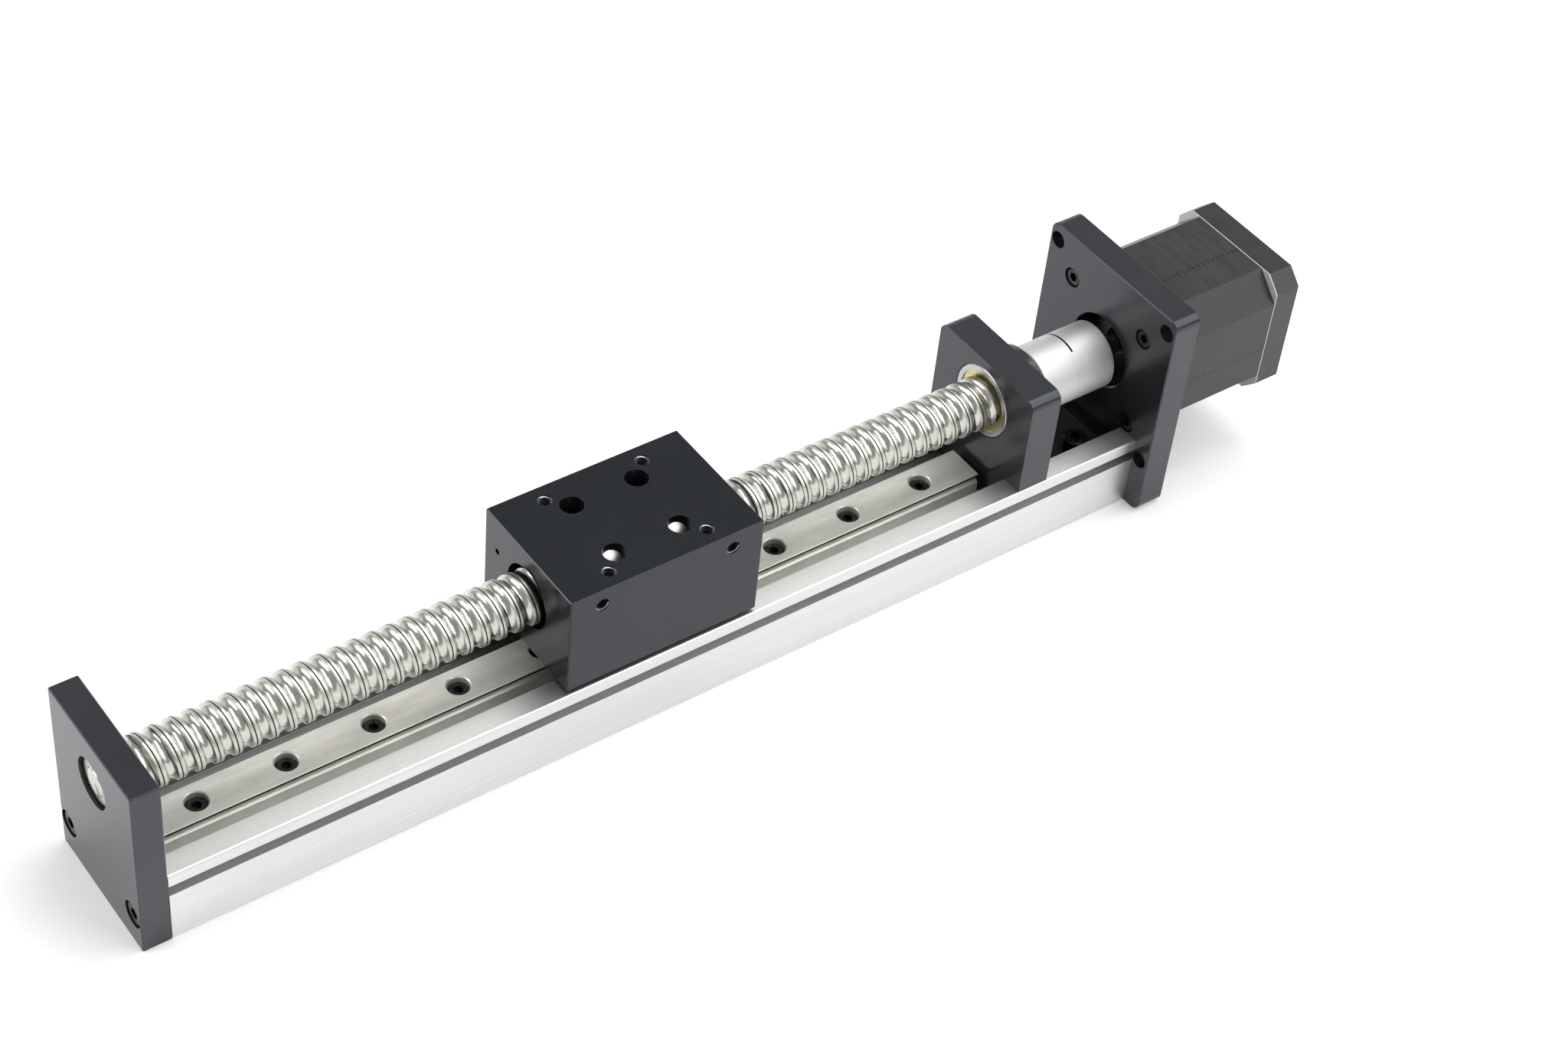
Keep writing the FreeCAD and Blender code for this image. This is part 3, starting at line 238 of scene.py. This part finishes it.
class Shader(Nodes):
    """One procedural material: a Principled shader and the nodes that feed it."""

    def __init__(self, name, color, metallic, roughness, ior=1.5):
        self.material = bpy.data.materials.new(name)
        self.material.use_nodes = True
        super().__init__(self.material.node_tree)
        self.tree.nodes.clear()
        output = self.node("ShaderNodeOutputMaterial")
        self.bsdf = self.node("ShaderNodeBsdfPrincipled")
        self.link(self.bsdf.outputs["BSDF"], output.inputs["Surface"])
        self.bsdf.inputs["Base Color"].default_value = (*color, 1)
        self.feed("Metallic", metallic)
        self.feed("Roughness", roughness)
        self.feed("IOR", ior)
        self.name = name
        self.color = color
        self.roughness = roughness
        self.normal = None

    def feed(self, socket, source):
        """Links or sets one of the shader's own sockets."""
        self.link(source, self.bsdf.inputs[socket])

    def noise(self, scale, detail=3.0, roughness=0.55):
        """Noise over object coordinates, stretched by one scale or by three."""
        mapping = self.node("ShaderNodeMapping")
        mapping.inputs["Scale"].default_value = scale if isinstance(scale, tuple) else (scale,) * 3
        self.link(self.node("ShaderNodeTexCoord").outputs["Object"], mapping.inputs["Vector"])
        noise = self.node("ShaderNodeTexNoise")
        for name, number in (("Scale", 1.0), ("Detail", detail), ("Roughness", roughness)):
            noise.inputs[name].default_value = number
        self.link(mapping.outputs["Vector"], noise.inputs["Vector"])
        return noise.outputs["Fac"]

    def tint(self, level, low, high):
        """Base colour that varies between two shades of the shader's colour."""
        ramp = self.node("ShaderNodeValToRGB")
        for element, at, share in zip(ramp.color_ramp.elements, TINT_SPAN, (low, high)):
            element.position = at
            element.color = (*(c * share for c in self.color), 1)
        self.link(level, ramp.inputs["Fac"])
        self.feed("Base Color", ramp.outputs["Color"])
        return ramp.outputs["Color"]

    def stain(self, factor, base, color):
        """Base colour that turns to another where the factor is 1."""
        mix = self.node("ShaderNodeMix", data_type="RGBA")
        self.link(factor, mix.inputs["Factor"])
        self.link(base, mix.inputs["A"])
        mix.inputs["B"].default_value = (*color, 1)
        self.feed("Base Color", mix.outputs["Result"])

    def rough(self, level, spread):
        """Roughness that varies round the shader's value by spread."""
        around = (self.roughness - spread, self.roughness + spread)
        self.feed("Roughness", self.span(level, ROUGH_SPAN, around))

    def bend(self, node):
        """Puts a node's normal on top of those before it."""
        if self.normal is not None:
            self.link(self.normal, node.inputs["Normal"])
        self.normal = node.outputs["Normal"]
        self.feed("Normal", self.normal)

    def bump(self, height, distance, strength=1.0):
        bump = self.node("ShaderNodeBump")
        bump.inputs["Strength"].default_value = strength
        bump.inputs["Distance"].default_value = distance
        self.link(height, bump.inputs["Height"])
        self.bend(bump)

    def soft_edges(self, radius):
        """Sharp edges catch light as if rounded to this radius."""
        bevel = self.node("ShaderNodeBevel", samples=BEVEL_SAMPLES)
        bevel.inputs["Radius"].default_value = radius
        self.bend(bevel)


# Materials

def black_anodised(name, color, roughness, ior):
    m = Shader(name, color, 0.0, roughness, ior)
    m.bsdf.inputs["Specular Tint"].default_value = (0.86, 0.90, 1.0, 1)
    fine = m.noise(2600, 2.0)
    m.rough(fine, 0.02)
    m.tint(m.noise(45), 0.85, 1.2)
    m.bump(fine, 8e-7)
    m.soft_edges(0.00012)
    return m


def clear_anodised():
    """Clear anodised extrusion, drawn along X, with painted shade on the channel's far wall under the
    screw.
    """
    m = Shader("clear_anodised", (0.75, 0.75, 0.745), 1.0, 0.42)
    drawn = m.noise((12, 2600, 2600), 4.0, 0.6)
    metal = m.tint(drawn, 0.94, 1.04)
    m.rough(drawn, 0.04)
    m.bump(drawn, 2e-6)
    painted_wall_shade = m.every(m.math("GREATER_THAN", m.axes()[1], CHANNEL_REACH),
                   m.math("LESS_THAN", m.axes("Normal")[1], -WALL_FACING))
    # painted shade: the far wall of the channel under the screw is coloured dark grey
    m.stain(painted_wall_shade, metal, (0.17, 0.17, 0.165))
    m.soft_edges(0.00025)
    return m


def rail_steel():
    """Ground steel under a thin film of oil, with painted shade and oil, near black, in the ball tracks
    of its sides.
    """
    m = Shader("rail_steel", (0.80, 0.79, 0.725), 0.6, 0.45)
    ground = m.noise((30, 3200, 3200), 3.0, 0.6)
    steel = m.tint(m.noise((60, 260, 60), 4.0, 0.6), 0.88, 1.08)
    m.rough(ground, 0.05)
    m.bump(ground, 2e-6)
    y, z = m.axes()[1:]
    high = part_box("guide_rail")[1]
    inside = m.math("SUBTRACT", high[1], m.math("ABSOLUTE", y))
    below = m.math("SUBTRACT", high[2], z)
    track_oil_and_shade = m.every(m.math("LESS_THAN", inside, TRACK_REACH),
                  m.math("GREATER_THAN", below, TRACK_HEAD),
                  m.math("LESS_THAN", below, TRACK_FOOT))
    # painted shade with oil: the ball tracks are coloured near black
    m.stain(track_oil_and_shade, steel, (0.012, 0.011, 0.01))
    m.soft_edges(0.0001)
    return m


def screw_steel():
    """Rolled steel: polished ball track, duller lands, painted shade in the crease along each land.

    from_track runs from 0 in the middle of the track to 0.5, half a lead on, in the crease.
    """
    m = Shader("screw_steel", (0.60, 0.595, 0.545), 1.0, TRACK_ROUGH)
    x, y, z = m.axes()
    turn = m.math("DIVIDE", m.math("ARCTAN2", m.math("SUBTRACT", z, AXIS_Z), y), 2 * math.pi)
    along = m.math("DIVIDE", m.math("SUBTRACT", x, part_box("end_plate")[0][0]), LEAD)
    from_track = m.math("PINGPONG", m.math("SUBTRACT", along, turn), 0.5)
    cloud = m.noise((500, 900, 900), 4.0, 0.6)
    steel = m.tint(cloud, 0.90, 1.05)
    crease_shade = m.math("MULTIPLY", m.math("SUBTRACT", from_track, CREASE_START), 2 / (0.5 - CREASE_START))
    crease_shade = m.math("MINIMUM", m.math("MAXIMUM", crease_shade, 0.0), 1.0)
    # painted shade: the crease along each land is coloured dark
    m.stain(crease_shade, steel, (0.045, 0.04, 0.035))
    land = m.math("GREATER_THAN", from_track, TRACK_SHARE)
    level = m.math("ADD", m.math("MULTIPLY", land, LAND_ROUGH - TRACK_ROUGH), TRACK_ROUGH)
    m.feed("Roughness", m.math("ADD", level, m.math("MULTIPLY", cloud, ROUGH_GRAIN)))
    m.bump(cloud, 1e-6)
    return m


def bearing_steel():
    m = Shader("bearing_steel", (0.50, 0.50, 0.48), 1.0, 0.28)
    cloud = m.noise((400, 1600, 1600))
    m.tint(cloud, 0.92, 1.05)
    m.rough(cloud, 0.03)
    return m


def shield_steel():
    m = Shader("shield_steel", (0.60, 0.54, 0.27), 1.0, 0.30)
    m.tint(m.noise(700), 0.85, 1.12)
    return m


def cage_steel():
    m = Shader("cage_steel", (0.5, 0.5, 0.5), 1.0, 0.3)
    m.tint(m.noise(800), 0.9, 1.1)
    return m


def black_oxide():
    m = Shader("black_oxide", (0.035, 0.035, 0.034), 0.85, 0.30)
    fine = m.noise(1500)
    m.tint(fine, 0.7, 1.4)
    m.rough(fine, 0.06)
    m.bump(fine, 6e-6)
    m.soft_edges(0.0001)
    return m


def coupling_aluminium():
    """Turned aluminium, with painted shade in its slit."""
    m = Shader("coupling_aluminium", (0.70, 0.70, 0.685), 1.0, 0.54)
    turned = m.noise((4200, 40, 40), 3.0, 0.6)
    metal = m.tint(turned, 0.93, 1.03)
    m.rough(turned, 0.04)
    m.bump(turned, 4e-7)
    x, y, z = m.axes()
    low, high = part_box("shaft_coupling")
    radius = m.distance(y, m.math("SUBTRACT", z, AXIS_Z))
    slit_shade = m.every(m.math("LESS_THAN", m.apart(x, (low[0] + high[0]) / 2), SLIT_HALF),
                   m.math("LESS_THAN", radius, COUPLING_R - SLIT_SINK))
    # painted shade: the slit is coloured near black
    m.stain(slit_shade, metal, (0.01, 0.01, 0.01))
    m.soft_edges(0.0002)
    return m


def satin_black(name, color, roughness):
    """Satin black paint; gives the shader and its colour."""
    m = Shader(name, color, 0.0, roughness)
    fine = m.noise(1600)
    paint = m.tint(m.noise(90), 0.85, 1.2)
    m.rough(fine, 0.05)
    m.bump(fine, 1e-5)
    m.soft_edges(0.0002)
    return m, paint


def motor_black():
    return satin_black("motor_black", (0.026, 0.026, 0.026), 0.40)[0]


def motor_end(name, bare_side, seam_x):
    """Satin black end of the motor, left bare on the face against the stack and along its edge."""
    m, paint = satin_black(name, (0.022, 0.022, 0.023), 0.34)
    across = m.math("MULTIPLY", m.axes("Normal")[0], bare_side)
    bare = m.math("MAXIMUM", m.math("GREATER_THAN", across, BARE_FACING),
                  m.math("LESS_THAN", m.apart(m.axes()[0], seam_x), BARE_EDGE))
    m.stain(bare, paint, BARE_COLOR)
    m.feed("Metallic", m.math("MULTIPLY", bare, BARE_METALLIC))
    return m


def motor_laminations():
    """Stack of thin black sheets, with the dimples that hold them together, bumped in and darkened by
    painted shade.
    """
    m = Shader("motor_laminations", (0.022, 0.022, 0.021), 0.0, 0.42)
    x, y, z = m.axes()
    fine = m.noise((700, 120, 120), 4.0)
    paint = m.tint(fine, 0.8, 1.25)
    rows = m.math("MAXIMUM", m.math("LESS_THAN", m.apart(y, DIMPLE_TOP_Y), DIMPLE_R),
                  m.math("LESS_THAN", m.apart(z, DIMPLE_SIDE_Z), DIMPLE_R))
    part = m.math("LESS_THAN", m.math("PINGPONG", x, DIMPLE_PITCH / 2), DIMPLE_PITCH / 4)
    dimple_and_shade = m.every(rows, part)
    # painted shade: the dimples are coloured darker than the paint round them
    m.stain(dimple_and_shade, paint, (0.004, 0.004, 0.004))
    m.bump(m.math("PINGPONG", x, LAMINATION / 2), 0.05, 0.25)
    m.bump(m.math("MULTIPLY", dimple_and_shade, -1.0), 0.0001)
    m.rough(fine, 0.05)
    m.soft_edges(0.0002)
    return m


def thread_black():
    """Tapped threads, with crests worn bright by the tap."""
    m = Shader("thread_black", (0.24, 0.25, 0.27), 1.0, 0.28)
    m.tint(m.noise(2500), 0.8, 1.2)
    return m


def plain(name, color, metallic, roughness):
    m = Shader(name, color, metallic, roughness)
    fine = m.noise(900)
    m.tint(fine, 0.9, 1.1)
    m.bump(fine, 6e-6)
    return m


def slot_materials():
    """A shader for each material slot of the record, by the slot's name."""
    shaders = [
        black_anodised("black_anodised", (0.017, 0.0185, 0.0205), 0.23, 1.6),
        clear_anodised(),
        rail_steel(),
        screw_steel(),
        bearing_steel(),
        shield_steel(),
        cage_steel(),
        black_oxide(),
        coupling_aluminium(),
        motor_black(),
    ]
    shaders += [plain(*finish) for finish in PLAIN_FINISHES]
    return {shader.name: shader for shader in shaders}


def dress_nodes(materials):
    """Each CAD node gets its slot's material, and the slider and the motor's outer nodes their own."""
    slots = {s["node"]: s["material_slot"] for s in frame["record"]["subparts"]}
    own = {
        "motor_front_flange": motor_end("motor_flange_black", 1.0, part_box("motor_front_flange")[1][0]),
        "motor_rear_cap": motor_end("motor_cap_black", -1.0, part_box("motor_rear_cap")[0][0]),
        "stator_stack": motor_laminations(),
        "slider_block": black_anodised("slider_black", (0.0055, 0.007, 0.0085), 0.2, 1.5),
    }
    for name, node in NODES.items():
        shader = own.get(name, materials[slots[name]])
        node.material_slots[0].material = shader.material


# Pieces that replace or add to the nodes

def new_piece(name, mesh, shader, body):
    for face in mesh.faces:
        face.smooth = True
    bmesh.ops.recalc_face_normals(mesh, faces=mesh.faces)
    data = bpy.data.meshes.new(name)
    mesh.to_mesh(data)
    mesh.free()
    data.set_sharp_from_angle(angle=SHARP_FROM)
    piece = bpy.data.objects.new(name, data)
    bpy.context.scene.collection.objects.link(piece)
    data.materials.append(shader.material)
    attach(piece, body)
    return piece


def track_profile():
    """(offset along X, radius) across one turn, from one crease to the next, without the last point."""
    half = math.sqrt(TRACK_R ** 2 - (BALL_CIRCLE_R - SCREW_R) ** 2)
    edge = LEAD / 2
    side = [
        (edge, SCREW_R - SEAM_DEPTH),
        (edge - SEAM_HALF / 2, SCREW_R - SEAM_DEPTH * SEAM_FLARE),
        (edge - SEAM_HALF, SCREW_R - LAND_ROUND),
        (edge - 2 * SEAM_HALF, SCREW_R),
        ((edge + half) / 2, SCREW_R),
        (half + TRACK_LIP, SCREW_R - LAND_ROUND / 2),
        (half, SCREW_R - TRACK_LIP / 2),
    ]
    inner = half - TRACK_LIP / 2
    runs = [inner * math.cos(math.pi * i / TRACK_STEPS) for i in range(TRACK_STEPS + 1)]
    track = [(run, BALL_CIRCLE_R - math.sqrt(TRACK_R ** 2 - run ** 2)) for run in runs]
    whole = side + track + [(-x, r) for x, r in reversed(side)]
    return list(reversed(whole))[:-1]


def trim_flat(mesh, x, way):
    """Cuts off what lies beyond x on one side, and closes the cut."""
    everything = mesh.verts[:] + mesh.edges[:] + mesh.faces[:]
    cut = bmesh.ops.bisect_plane(mesh, geom=everything, dist=CUT_DISTANCE, plane_co=(x, 0, AXIS_Z),
                                 plane_no=(way, 0, 0), clear_outer=True)
    rim = [e for e in cut["geom_cut"] if isinstance(e, bmesh.types.BMEdge)]
    bmesh.ops.triangle_fill(mesh, edges=rim, use_beauty=True)


def thread_mesh(mesh, start, end, origin):
    """The rolled thread between two X: strips along the helix, trimmed flat at both ends."""
    profile = track_profile()
    first = math.floor((start - origin) / LEAD - 1) * TURN_STEPS
    last = math.ceil((end - origin) / LEAD + 1) * TURN_STEPS
    rows = []
    for i in range(first, last + 1):
        angle = 2 * math.pi * i / TURN_STEPS
        middle = origin + LEAD * i / TURN_STEPS
        side, up = math.cos(angle), math.sin(angle)
        rows.append([mesh.verts.new((middle + x, r * side, AXIS_Z + r * up)) for x, r in profile])
    for i, (row, following) in enumerate(zip(rows, rows[1:])):
        across, ahead = row, following
        if i + 1 + TURN_STEPS < len(rows):
            across = row + [rows[i + TURN_STEPS][0]]
            ahead = following + [rows[i + 1 + TURN_STEPS][0]]
        for a, b, c, d in zip(across, across[1:], ahead[1:], ahead):
            mesh.faces.new((a, b, c, d))
    trim_flat(mesh, start, -1)
    trim_flat(mesh, end, 1)


def turned_mesh(mesh, outline):
    """A closed turned solid about the screw axis from (x, radius) points, end to end."""
    turn = [2 * math.pi * i / SHAFT_STEPS for i in range(SHAFT_STEPS)]
    rings = []
    for x, radius in outline:
        rings.append([mesh.verts.new((x, radius * math.cos(a), AXIS_Z + radius * math.sin(a)))
                      for a in turn])
    for ring, following in zip(rings, rings[1:]):
        for i in range(SHAFT_STEPS):
            j = (i + 1) % SHAFT_STEPS
            mesh.faces.new((ring[i], ring[j], following[j], following[i]))
    mesh.faces.new(rings[0])
    mesh.faces.new(rings[-1])


def shaft_outline(steps):
    """(x, radius) points of a stepped shaft from (x0, x1, radius) steps, its two ends broken."""
    points = []
    for x0, x1, radius in steps:
        points += [(x0, radius), (x1, radius)]
    first, last = points[0], points[-1]
    start = [(first[0], first[1] - SHAFT_BREAK), (first[0] + SHAFT_BREAK, first[1])]
    end = [(last[0] - SHAFT_BREAK, last[1]), (last[0], last[1] - SHAFT_BREAK)]
    return start + points[1:-1] + end


def ball_screw(shader):
    """The screw in two pieces: its rolled thread, and its turned ends."""
    plate_x0, plate_x1 = (corner[0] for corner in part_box("end_plate"))
    block_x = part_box("bearing_block")[0][0]
    ring_x0, ring_x1 = (corner[0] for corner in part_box("shaft_circlip"))
    screw_x0, screw_x1 = (corner[0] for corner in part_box("ball_screw"))
    start = plate_x1 + THREAD_RELIEF
    end = block_x - THREAD_RELIEF
    lip_x = ring_x1 + CLIP_LIP
    thread = bmesh.new()
    thread_mesh(thread, start, end, plate_x0)
    screw = new_piece("rolled_thread", thread, shader, "screw")
    shafts = bmesh.new()
    turned_mesh(shafts, shaft_outline([
        (screw_x0, plate_x1, END_R),
        (plate_x1, start + NECK_OVERLAP, NECK_R),
    ]))
    turned_mesh(shafts, shaft_outline([
        (end - NECK_OVERLAP, block_x, NECK_R),
        (block_x, ring_x0, SEAT_R),
        (ring_x0, ring_x1, CLIP_GROOVE_R),
        (ring_x1, lip_x, SEAT_R),
        (lip_x, screw_x1, END_R),
    ]))
    ends = new_piece("screw_journals", shafts, shader, "screw")
    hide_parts("ball_screw")
    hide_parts("ball_screw")


def add_ridge(mesh, mouth, axis, depth):
    """One tapped hole's thread: a thin helical ridge on its wall."""
    turn_to = axis.to_track_quat("Z", "Y").to_matrix()
    outer = TAP_R - TAP_CLEAR
    inner = outer - TAP_RIDGE
    section = [(RIDGE_FOOT * TAP_PITCH, outer), (RIDGE_CREST * TAP_PITCH, inner),
               (-RIDGE_CREST * TAP_PITCH, inner), (-RIDGE_FOOT * TAP_PITCH, outer)]
    count = int((depth - TAP_PITCH) / TAP_PITCH * TAP_STEPS)
    rows = []
    for i in range(count + 1):
        angle = 2 * math.pi * i / TAP_STEPS
        down = -TAP_PITCH / 2 - TAP_PITCH * i / TAP_STEPS
        row = []
        for rise, radius in section:
            local = Vector((radius * math.cos(angle), -radius * math.sin(angle), down + rise))
            row.append(mesh.verts.new(Vector(mouth) + turn_to @ local))
        rows.append(row)
    for row, following in zip(rows, rows[1:]):
        for k in range(len(section)):
            n = (k + 1) % len(section)
            mesh.faces.new((row[k], row[n], following[n], following[k]))
    mesh.faces.new(rows[0])
    mesh.faces.new(rows[-1])


def tapped_threads(shader):
    low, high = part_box("slider_block")
    middle = (low[0] + high[0]) / 2
    mesh = bmesh.new()
    for a in (-0.5, 0.5):
        for b in (-0.5, 0.5):
            mouth = (middle + a * TOP_TAPS_APART, b * TOP_TAPS_APART, high[2])
            add_ridge(mesh, mouth, Vector((0, 0, 1)), TOP_TAP_DEPTH)
        for y, way in ((low[1], -1), (high[1], 1)):
            mouth = (middle + a * SIDE_TAPS_APART, y, SIDE_TAP_Z)
            add_ridge(mesh, mouth, Vector((0, way, 0)), SIDE_TAP_DEPTH)
    new_piece("tapped_threads", mesh, shader, "carriage")


# Stage, camera and light

def add_camera():
    camera = bpy.data.cameras.new("camera")
    camera.lens = LENS_MM
    camera.sensor_width = SENSOR_MM
    camera.clip_start = CLIP_START
    camera.clip_end = CLIP_END
    holder = bpy.data.objects.new("camera", camera)
    turn = (Matrix.Rotation(-LOOK_AZIMUTH, 4, "Z") @ Matrix.Rotation(math.pi / 2 - LOOK_DOWN, 4, "X")
            @ Matrix.Rotation(ROLL, 4, "Z"))
    holder.matrix_world = Matrix.Translation(EYE) @ turn
    bpy.context.scene.collection.objects.link(holder)
    bpy.context.scene.camera = holder


def floor_white():
    """White wherever a camera, a reflection or glass sees it, but for the object's shadow."""
    m = Shader("floor", (FLOOR_ALBEDO,) * 3, 0.0, FLOOR_ROUGH)
    m.feed("Specular IOR Level", 0.0)
    m.bsdf.inputs["Emission Color"].default_value = (1, 1, 1, 1)
    rays = m.node("ShaderNodeLightPath").outputs
    seen = m.math("MAXIMUM", rays["Is Camera Ray"], rays["Is Glossy Ray"])
    seen = m.math("MAXIMUM", seen, rays["Is Transmission Ray"])
    away = m.distance(*m.axes()[:2])
    lift = m.span(away, (FLOOR_NEAR, FLOOR_FAR), (FLOOR_LIFT, FLOOR_FAR_LIFT), "SMOOTHSTEP")
    m.feed("Emission Strength", m.math("MULTIPLY", seen, lift))
    return m


def add_floor():
    mesh = bpy.data.meshes.new("floor")
    corners = [(x * FLOOR_HALF, y * FLOOR_HALF, 0) for x, y in ((-1, -1), (1, -1), (1, 1), (-1, 1))]
    mesh.from_pydata(corners, [], [(0, 1, 2, 3)])
    floor = bpy.data.objects.new("floor", mesh)
    bpy.context.scene.collection.objects.link(floor)
    mesh.materials.append(floor_white().material)


def add_world():
    """Dim surroundings with one bright wall: most of the light comes from the soft boxes."""
    world = bpy.data.worlds.new("studio")
    bpy.context.scene.world = world
    world.use_nodes = True
    sky = Nodes(world.node_tree)
    background = world.node_tree.nodes["Background"]
    background.inputs["Color"].default_value = (1, 1, 1, 1)
    towards = sky.node("ShaderNodeVectorMath", operation="DOT_PRODUCT")
    towards.inputs[1].default_value = Vector(WALL_TOWARDS).normalized()
    sky.link(sky.node("ShaderNodeTexCoord").outputs["Generated"], towards.inputs[0])
    level = sky.span(towards.outputs["Value"], (math.cos(WALL_EDGE), math.cos(WALL_CORE)),
                     (ROUND_LEVEL, WALL_LEVEL), "SMOOTHSTEP")
    sky.link(level, background.inputs["Strength"])


def add_softbox(name, place, aim, size, watts):
    light = bpy.data.lights.new(name, "AREA")
    light.shape = "RECTANGLE"
    light.size, light.size_y = size
    light.energy = watts
    holder = bpy.data.objects.new(name, light)
    direction = Vector(aim) - Vector(place)
    holder.matrix_world = (Matrix.Translation(place)
                           @ direction.to_track_quat("-Z", "Y").to_matrix().to_4x4())
    bpy.context.scene.collection.objects.link(holder)


def main():
    materials = slot_materials()
    dress_nodes(materials)
    ball_screw(materials["screw_steel"])
    tapped_threads(thread_black())
    add_camera()
    add_floor()
    add_world()
    for softbox in SOFTBOXES:
        add_softbox(*softbox)
    bpy.context.scene.view_settings.view_transform = "Standard"


main()
